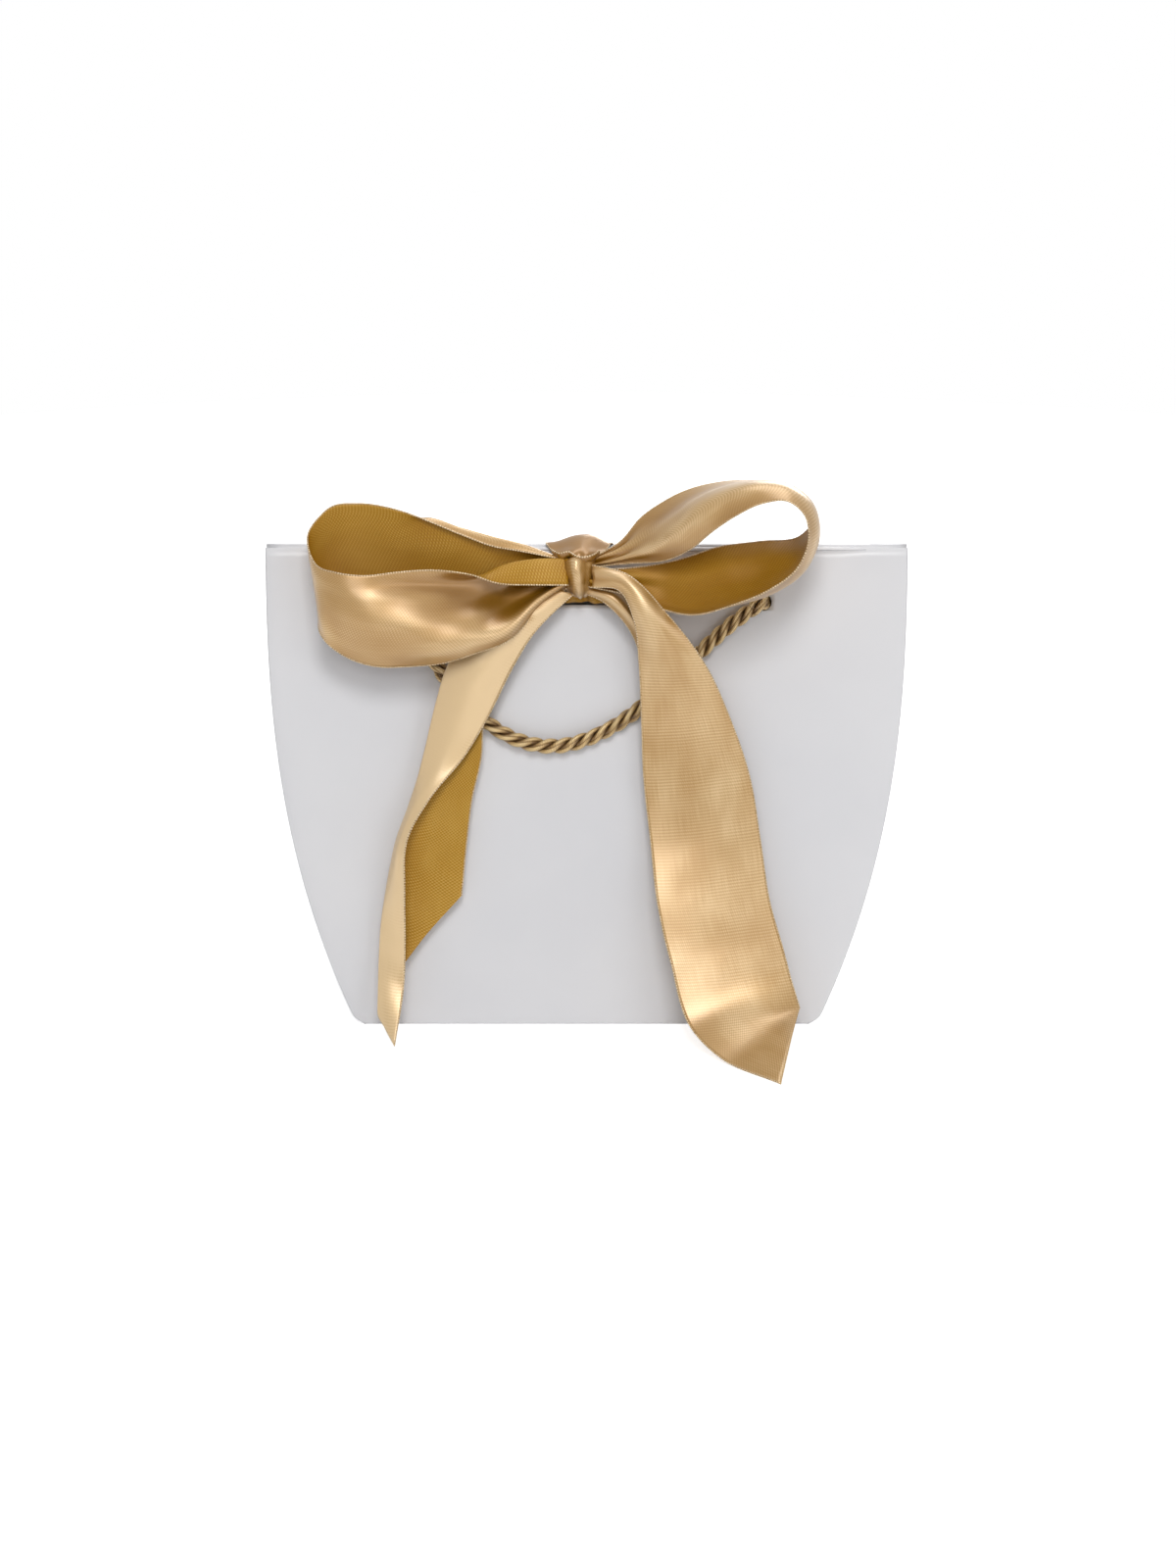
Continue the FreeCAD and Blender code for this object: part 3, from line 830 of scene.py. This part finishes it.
def enclosed(grid, normals, tree):
    """How much the cloth itself shuts in each place on one side of a surface, from 0 to 1, as baked
    occlusion for the painted shade.
    """
    rays = look_out_rays()
    rows, columns = (np.linspace(0, n - 1, max(4, n // 3)).round().astype(int) for n in grid.shape[:2])
    found = np.zeros((len(rows), len(columns)))
    for i, row in enumerate(rows):
        for j, column in enumerate(columns):
            normal = Vector(normals[row, column])
            across = normal.orthogonal().normalized()
            along = normal.cross(across)
            place = Vector(grid[row, column]) + normal * 0.6
            for a, b, c in rays:
                hit = tree.ray_cast(place, across * a + along * b + normal * c, LOOK_OUT)
                found[i, j] += hit[0] is not None
    found /= len(rays)
    filled = np.array([np.interp(np.arange(grid.shape[1]), columns, line) for line in found])
    return np.array([np.interp(np.arange(grid.shape[0]), rows, line) for line in filled.T]).T


def cloth_tree(grids):
    """A search tree of every ribbon surface."""
    places = [grid.reshape(-1, 3) for grid in grids]
    places, faces = joined(places, [quads(*grid.shape[:2]) for grid in grids])
    return BVHTree.FromPolygons(places.tolist(), faces)


def ribbon_layers(grid, tree, shade):
    """The cloth and both selvages, each as vertices, faces, face materials, UVs and painted shade values."""
    vertices, faces, sides = two_sided(grid, RIBBON_THICK / 2, -RIBBON_THICK / 2)
    normals, curve = grid_normals(grid), curving(grid)
    # Painted shade: how much cloth shuts a place in, how it bends, and the piece's own offset darken its
    # colour
    painted_shade = [enclosed(grid, normals * sign, tree) + 0.35 * sign * curve + shade for sign in (1, -1)]
    across = np.broadcast_to(np.linspace(0, RIBBON_WIDTH, grid.shape[1]), grid.shape[:2])
    uv = np.stack([across, lengths_along(grid)], axis=-1).reshape(-1, 2)
    layers = [(vertices, faces, sides, np.concatenate([uv, uv]), np.ravel(painted_shade))]
    for edge in (0, -1):
        beads, bead_faces = selvage(grid[:, edge])
        # Painted shade: every other ring, a neck between two beads, gets the darker value
        between = np.repeat(np.arange(len(beads) // BEAD_SIDES) % 2, BEAD_SIDES)
        layers.append((beads, bead_faces, [2] * len(bead_faces), np.zeros((len(beads), 2)), between))
    return layers


def ribbon(name, surfaces, materials, tree, shade):
    """A ribbon piece made of one or more surfaces, each a grid of places."""
    layers = [layer for grid in surfaces for layer in ribbon_layers(grid, tree, shade)]
    places, faces, sides, uv, painted_shade_values = zip(*layers)
    made = mesh_object(name, *joined(places, faces), sum(sides, []), materials)
    set_uv(made.data, RIBBON_UV, np.concatenate(uv))
    set_value(made.data, "painted_shade", np.concatenate(painted_shade_values))
    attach(made, "bag")
    return made


def pleated(grid, height, waves, reach, phase=0.0, both_ends=False, soft=0.25, seed=1):
    """Adds pleats that start at the knot and fade along the ribbon, and the cloth's own soft unevenness."""
    length = lengths_along(grid)
    near = 1 - fade(length, 0, reach)
    if both_ends:
        near = near + 1 - fade(length[-1:] - length, 0, reach)
    across = np.linspace(0, 1, grid.shape[1])[None, :]
    wave = np.sin(2 * math.pi * waves * across + phase + 0.02 * length)
    edge = np.sin(math.pi * across) ** 0.5
    lift = height * near * wave * (0.35 + 0.65 * edge) + soft * grid_noise(grid, 16.0, seed)
    return grid + grid_normals(grid) * lift[..., None]


def on_panel(stations, side=FRONT):
    """Stations as places in the bag's frame, from lists of (x, v, h)."""
    return np.array([[panel_point(*place, side) for place in station] for station in stations])


def crowned(pairs, crowns, skew=0.0):
    """Stations from pairs of edge places, each bowed out by its crown, nearer the first edge with skew."""
    pairs = np.asarray(pairs, float)
    ahead = np.gradient(pairs.mean(axis=1), axis=0)
    chord = pairs[:, 1] - pairs[:, 0]
    out = np.cross(ahead, chord)
    out /= norm(out, axis=1, keepdims=True)
    crowns = np.asarray(crowns, float)[:, None]
    stations = []
    for share in (0.0, 0.25, 0.5, 0.75, 1.0):
        bow = 4 * share * (1 - share) * (1 + skew * (1 - 2 * share))
        stations.append(pairs[:, 0] + chord * share + out * crowns * bow)
    return np.stack(stations, axis=1)


def left_loop_surface():
    """From the knot out to the left, round, and back behind: lower selvage to upper selvage."""
    stations = on_panel([
        [(-8, 194.5, 10), (-8, 197, 13.5), (-8, 199.5, 10.5),
         (-8, 203, 9.5), (-8, 207, 13.5), (-8, 196, 15.5)],
        [(-20.5, 186, 14), (-21, 189, 19), (-22, 193.5, 12.5),
         (-23, 200, 10.5), (-23, 207.3, 14.5), (-24, 196.2, 18.5)],
        [(-33, 173, 21), (-34, 177.5, 25.5), (-35.5, 186.5, 16),
         (-36, 196, 12), (-36.5, 204.8, 17), (-37.5, 197, 22)],
        [(-49, 166.8, 26), (-49.5, 172.5, 30), (-49.5, 181, 27.2),
         (-50, 190.5, 20), (-50, 198.5, 18.5), (-50.5, 201, 25)],
        [(-64, 162.5, 24.5), (-64.5, 168.5, 31), (-65, 178, 32),
         (-65.5, 189.5, 27.5), (-66, 197, 24), (-66, 203, 26.5)],
        [(-79, 161.2, 23.5), (-79.5, 168, 29.5), (-80, 179, 33.5),
         (-80.5, 190, 31.3), (-81, 197, 29), (-81, 202.3, 29.5)],
        [(-92.4, 161.6, 24), (-93, 168.5, 28.5), (-94, 179.5, 33),
         (-94.5, 190, 33.3), (-95, 196, 32.3), (-95.5, 200.9, 32)],
        [(-104, 165.5, 23.5), (-105, 172.5, 27), (-106, 183, 31),
         (-106.5, 191.5, 31.5), (-107, 197, 31.5), (-107.5, 202.2, 31)],
        [(-112.5, 172, 24), (-113.5, 178.5, 26), (-114.5, 188, 27),
         (-115.3, 195.5, 27), (-115.7, 200, 27), (-116, 205, 26.5)],
        [(-116, 178, 21), (-116.5, 185.5, 22), (-117.5, 194, 22),
         (-118.5, 201.5, 21.5), (-119.4, 206.5, 21), (-120, 212, 20.5)],
        [(-114.5, 184, 15), (-115.5, 191, 14.5), (-117, 200, 14.5),
         (-118.5, 208.5, 14.5), (-119.5, 214.5, 15), (-119.8, 220, 15)],
        [(-108, 185, 10.5), (-110, 193, 10), (-112, 203, 10),
         (-113, 213, 10.5), (-113, 220, 11.5), (-112, 228.8, 12.5)],
        [(-97, 182.5, 9.4), (-98, 191, 9.2), (-99, 202, 9.2),
         (-100, 213, 9.4), (-100, 222, 10), (-99.5, 231, 11)],
        [(-83, 180, 9.3), (-83, 189, 9.2), (-83, 200, 9.6),
         (-83, 211, 10.2), (-83, 220, 11), (-83, 228.6, 12.5)],
        [(-68, 181, 9.3), (-68, 189, 9.4), (-68, 199, 10.2),
         (-68, 211, 11.5), (-68, 224.4, 12.6), (-68, 223.4, 15)],
        [(-55, 183, 9.3), (-55, 190, 9.4), (-55, 200, 10.4),
         (-55, 211, 12), (-55, 220.9, 13.5), (-55, 218.2, 16)],
        [(-42, 186, 9.3), (-42, 192, 9.4), (-42, 200, 10),
         (-42, 209, 11), (-42, 217.2, 12.8), (-42, 213.2, 15.5)],
        [(-28, 190, 9.3), (-28, 194, 9.6), (-28, 200, 9.2),
         (-28, 207, 9.8), (-28, 213.8, 11.4), (-28, 210.4, 13.4)],
        [(-10, 195, 9), (-10, 198, 10), (-10, 201, 8.8),
         (-10, 204, 9.5), (-10, 207, 10), (-10, 206.5, 12)],
    ])
    return smooth_surface(stations, 210, 44)


def right_loop_surface():
    """From the knot out to the right underneath, round, and back above: near selvage to far selvage."""
    pairs = on_panel([
        [(1, 195, 13), (1, 202.5, 11)],
        [(17.6, 191.5, 15.5), (17.7, 203, 10.5)],
        [(31.8, 186, 20), (31.3, 204.7, 10)],
        [(45.5, 184, 31), (43.3, 207.6, 11)],
        [(61.2, 188.7, 41), (58.2, 212.4, 11.4)],
        [(77.7, 195.7, 46), (75.2, 214.5, 9.6)],
        [(90.1, 206.3, 48), (92.3, 216.6, 9.4)],
        [(94, 217.6, 49), (98.6, 224.6, 9.4)],
        [(92.8, 226.4, 49), (96.2, 232.3, 9.4)],
        [(86, 233, 48), (87, 238.9, 9.4)],
        [(75, 232.6, 46), (71, 241, 11)],
        [(62.9, 226.8, 43), (55, 239.8, 12.6)],
        [(54, 220.5, 38.5), (45.5, 237.5, 13.2)],
        [(45.5, 213, 31), (36, 233.5, 13.2)],
        [(33, 206.8, 20), (23.5, 225, 12)],
        [(19, 205.2, 13.5), (15, 215, 10.4)],
        [(2, 203.5, 11), (2, 207, 9)],
    ])
    crowns = [0, 1.5, 4, 6, 7, 7, 5, 3.5, 3.5, 4, 5, 6, 6.5, 6, 4, 2, 0]
    return smooth_surface(crowned(pairs, [-c for c in crowns], 1.1), 200, 40)


def left_tail_surface():
    """Down from the knot, folded lengthwise: near selvage, front layer, fold, back layer, far selvage."""
    stations = [
        [(-6, 191.5, 10), (-8, 192.5, 11.5), (-11, 193, 11), (-9.5, 191.5, 9.3), (-7.5, 190.5, 8.8)],
        [(-14.5, 184, 13), (-18, 187, 14.5), (-22.5, 190, 13), (-20, 187, 10), (-17, 184, 9)],
        [(-22.9, 175, 15), (-31, 179, 18), (-40, 183, 15.5), (-33, 178, 11), (-27, 175.5, 9.5)],
        [(-32.4, 159.7, 14), (-44, 162, 18.5), (-57.5, 165, 14), (-46, 161, 9.8), (-36.5, 159.5, 9)],
        [(-41.9, 140.5, 13), (-53, 143, 16.5), (-65.2, 145, 12), (-55, 141.5, 9), (-44.5, 140, 8.8)],
        [(-53.3, 121.4, 14.5), (-61.5, 122.5, 15), (-70.6, 123, 11), (-59, 121, 8.8), (-46.2, 120, 8.8)],
        [(-69.5, 101.4, 18), (-74.5, 101.4, 15.5), (-77.6, 100.1, 10), (-64, 99.5, 8), (-50.5, 100.5, 8)],
        [(-78.6, 83.5, 19), (-82, 83.5, 16), (-83.2, 84, 10), (-67.5, 84, 7), (-52.5, 84.4, 7.5)],
        [(-79.6, 61, 18), (-85, 62.5, 14), (-87.4, 66, 8.5), (-71, 70, 6.5), (-53.6, 74, 7)],
        [(-79.6, 38, 15), (-86, 42, 12.5), (-90.4, 47, 9), (-73, 57, 7), (-54.3, 66, 7.5)],
    ]
    points = list(on_panel(stations))
    points += [[
        panel_point(-80.6, 18, 15), panel_point(-87, 24, 13), panel_point(-91.4, 30, 10),
        panel_point(-74, 46, 8), panel_point(-54.8, 61.5, 8),
    ], [
        floor_point(-84, 26.5), floor_point(-88.3, 19, 5.5), floor_point(-91.7, 12.5, 12.5),
        panel_point(-73.8, 37.5, 9), panel_point(-54.9, 59, 8.5),
    ]]
    return smooth_surface(points, 170, 44)


def right_tail_surface():
    """Down from the knot and forward on to the floor, with a slanting cut end: left to right selvage."""
    pairs = [
        [(2.5, 195, 15.5), (2.5, 204.5, 14)],
        [(13, 194.5, 18.5), (17, 201, 18)],
        [(20.5, 181.5, 20), (35, 183.5, 21)],
        [(22.8, 163, 14.5), (50.5, 163, 19)],
        [(24, 137.5, 10), (62.5, 137.5, 12)],
        [(25, 112, 9), (71.2, 112, 9.2)],
        [(28, 84.3, 11), (76, 84.2, 10)],
        [(31.4, 55, 18), (80.3, 56.4, 13)],
        [(36.7, 32.4, 23.8), (85.7, 37.6, 16)],
    ]
    points = [(panel_point(*left), panel_point(*right)) for left, right in pairs]
    points.append((floor_point(46.2, 33, 10.3), panel_point(89.6, 22.9, 20)))
    points.append((floor_point(58.8, 46, 2.2), panel_point(92, 15, 22.5)))
    points.append((floor_point(82.8, 69, 0.4), panel_point(93, 11.4, 24)))
    crowns = [0, 1.5, 3, 2.5, 1.5, 1, 0.8, 0.8, 1, 1.4, 1.6, 1]
    return smooth_surface(crowned(points, crowns), 170, 40)


def under_strip_surface():
    """The right tail's turned-under half, seen below it beside the knot."""
    stations = on_panel([
        [(-1, 192, 9), (0, 194, 11), (2, 195.5, 9)],
        [(7, 188.5, 10.5), (10, 191, 13.5), (14.5, 193, 8.8)],
        [(14, 182.5, 11), (17, 184.5, 14), (22.5, 186, 8.8)],
        [(20, 174, 11), (23.5, 175.5, 14), (30, 176, 8.8)],
        [(23.5, 163, 10), (29, 163, 11.5), (38, 163, 8.8)],
        [(25, 148, 8.8), (35, 148, 9.2), (44, 148, 9.2)],
    ])
    return smooth_surface(stations, 60, 20)


def top_wrap_surface():
    """Up the back from its slot, over the mouth in a gathered hump, and down into the knot."""
    up_the_back = on_panel([
        [(-13.5, 188.6, -1), (-7, 188.6, -1), (0, 188.6, -1), (7, 188.6, -1), (13.5, 188.6, -1)],
        [(-14, 190.8, 0.9), (-7, 190.8, 0.9), (0, 190.8, 0.9), (7, 190.8, 0.9), (14, 190.8, 0.9)],
        [(-15, 199, 0.7), (-8, 199, 1.4), (-1, 199, 0.8), (7, 199, 1.5), (14.5, 199, 0.7)],
        [(-16, 208.5, 1), (-8, 208.5, 2.2), (-2, 208.5, 1.2), (5, 208.5, 2.4), (12.5, 208.5, 1)],
    ], BACK)
    over = [[(-17.8, 0, 208.6), (-9, 0, 210.4), (-2, 0, 212.6), (4, 0, 211.4), (10.6, 0, 208.4)]]
    to_the_knot = on_panel([
        [(-15.5, 210.8, 3), (-8, 211.6, 6), (-2, 212.6, 8), (3.2, 211.4, 6), (8.5, 210.6, 3)],
        [(-12, 208.6, 7), (-7, 208.8, 11), (-3, 209.4, 11), (0.5, 208.6, 11.5), (5, 208.6, 7.5)],
        [(-8.5, 205.5, 9), (-6, 205.5, 12), (-3, 205.8, 11.8), (-0.5, 205.5, 12), (2, 205.5, 9)],
    ])
    return smooth_surface(np.concatenate([up_the_back, over, to_the_knot]), 90, 40)


def ruffle_surface():
    """The wavy selvage that shows along the top of the knot, where the wrap goes in under it."""
    line = [
        (-15.5, 211.1, 13), (-11.8, 209.7, 15.5), (-7.9, 210.4, 16), (-4.5, 208.6, 18), (-1.1, 208.1, 17),
        (2.3, 208.9, 16.5), (5.7, 210.8, 13),
    ]
    stations = [[(x * 0.85, v - 3.5, h - 5), (x * 0.95, v - 1.6, h - 1.2), (x, v, h)] for x, v, h in line]
    return smooth_surface(on_panel(stations), 60, 10)


def slot_band_surface():
    """Across the inside from the back slot, out of the front slot and up behind the knot."""
    z = SLOT_V * LEAN_COS
    reach = HALF_DEPTH - SLOT_V * LEAN_SIN
    wide = (-13.2, -6.5, 0, 6.5, 13.2)
    across_the_inside = [
        [(x, reach + 1.2, z + 0.6) for x in wide],
        [(x, reach - 3, z) for x in wide],
        [(x, 0, z - 1.0 + 0.4 * math.cos(x)) for x in wide],
        [(x, -reach + 3, z) for x in wide],
    ]
    out_of_the_slot = on_panel([
        [(-13, 188, 1.2), (-7, 187.4, 2.4), (-0.8, 188, 1), (5, 187.2, 2.6), (12.6, 187.8, 1.2)],
        [(-10, 190.5, 3.6), (-6, 189.9, 5.6), (-1.2, 190.5, 3.2), (3.5, 189.9, 5.8), (8.5, 190.5, 3.8)],
        [(-6.5, 194, 4), (-4.5, 194, 7.5), (-2, 194, 6.6), (0, 194, 7.6), (2.5, 194, 4.2)],
    ])
    return smooth_surface(np.concatenate([across_the_inside, out_of_the_slot]), 80, 36)


def knot_surface():
    """The tight wrap at the bow's middle: a tongue from the gathered top down to a point."""
    stations = on_panel([
        [(-9.3, 204, 9), (-8, 204, 12), (-4, 204, 13), (0, 204, 12), (2.6, 204, 9)],
        [(-10.7, 207.2, 9), (-8.8, 207.6, 14.5), (-4, 207.6, 16.5), (0.5, 207.6, 14.5), (3.3, 207.2, 9.5)],
        [(-10.9, 203.5, 8.5), (-9, 203.5, 15.5), (-4, 203.5, 18.4), (0.8, 203.5, 15.5), (3.4, 203.8, 9)],
        [(-10.6, 199, 8), (-8.4, 199, 15), (-3.6, 199, 18.2), (0.6, 199, 15), (3, 199, 8.6)],
        [(-9.8, 195, 7.5), (-7.4, 195, 13.5), (-3.2, 195, 16.4), (0.2, 195, 13.5), (2, 195, 8)],
        [(-7.4, 191.8, 6.5), (-5.4, 191.4, 10.5), (-2.6, 191.2, 12.6), (-0.5, 191.4, 10.5), (0.6, 191.8, 7)],
        [(-4.5, 190.4, 4.5), (-3.6, 190, 6), (-2.4, 189.8, 7), (-1.4, 190, 6), (-0.6, 190.4, 4.5)],
    ])
    return smooth_surface(stations, 60, 36)


def ribbon_shapes():
    return {
        "left_loop": [pleated(left_loop_surface(), 1.1, 3.0, 36, 0.6, True, seed=1)],
        "right_loop": [pleated(right_loop_surface(), 1.2, 2.5, 40, 2.0, True, seed=2)],
        "left_tail": [pleated(left_tail_surface(), 0.5, 2.0, 25, seed=3)],
        "right_tail": [
            pleated(right_tail_surface(), 0.45, 1.6, 40, 0.5, seed=4),
            pleated(under_strip_surface(), 0.4, 1.5, 20, seed=5),
        ],
        "top_wrap": [pleated(top_wrap_surface(), 0.45, 2.5, 90, 2.2, seed=6), ruffle_surface()],
        "slot_band": [pleated(slot_band_surface(), 0.3, 4.0, 90, seed=7)],
        "knot_wrap": [pleated(knot_surface(), 0.8, 2.2, 60, 1.0, seed=8)],
    }


# Each piece's CAD node, whether its surface faces with the reverse, and how much painted shade it gets
# beyond what its own
# folds give: most on the hump and the slot band, some on the loops and the knot, and below nothing, as
# painted light, on the tails
RUNS = {
    "left_loop": ("bow_left_loop", True, 0.2),
    "right_loop": ("bow_right_loop", True, 0.2),
    "left_tail": ("bow_left_tail", True, -0.5),
    "right_tail": ("bow_right_tail", False, -0.08),
    "top_wrap": ("ribbon_top_wrap", False, 1.0),
    "slot_band": ("ribbon_slot_band", False, 0.6),
    "knot_wrap": ("bow_knot", False, 0.1),
}


def add_ribbon(satin, reverse, beads):
    shapes = ribbon_shapes()
    tree = cloth_tree([grid for grids in shapes.values() for grid in grids])
    for name, grids in shapes.items():
        node, turned, shade = RUNS[name]
        sides = [reverse, satin, beads] if turned else [satin, reverse, beads]
        piece = ribbon(name, grids, sides, tree, shade)
        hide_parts(node)


def main():
    add_studio()
    rope = rope_material()
    handle("front", FRONT, rope)
    handle("back", BACK, rope)
    paper, board = paper_material(), board_material()
    tool = cutters()
    paper_shell(paper, tool)
    top_hem("front_top_hem", FRONT, paper, tool)
    top_hem("back_top_hem", BACK, paper, tool)
    bpy.data.objects.remove(tool)
    dress_cad_nodes(paper, board)
    # Each low colour is the painted shade of gathers and interiors
    satin = satin_material(
        "satin_face", low=(0.29, 0.13, 0.005), middle=(0.44, 0.25, 0.07), high=(0.7, 0.5, 0.26),
        roughness=0.32, metallic=0.32, coat=0.7, weave_depth=0.6, painted_shade_share=0.9,
    )
    reverse = satin_material(
        "satin_reverse", low=(0.31, 0.135, 0.003), middle=(0.4, 0.2, 0.01), high=(0.54, 0.32, 0.06),
        roughness=0.42, metallic=0.12, coat=0.0, weave_depth=1.2, painted_shade_share=0.3,
    )
    add_ribbon(satin, reverse, bead_material())
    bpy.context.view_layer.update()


main()
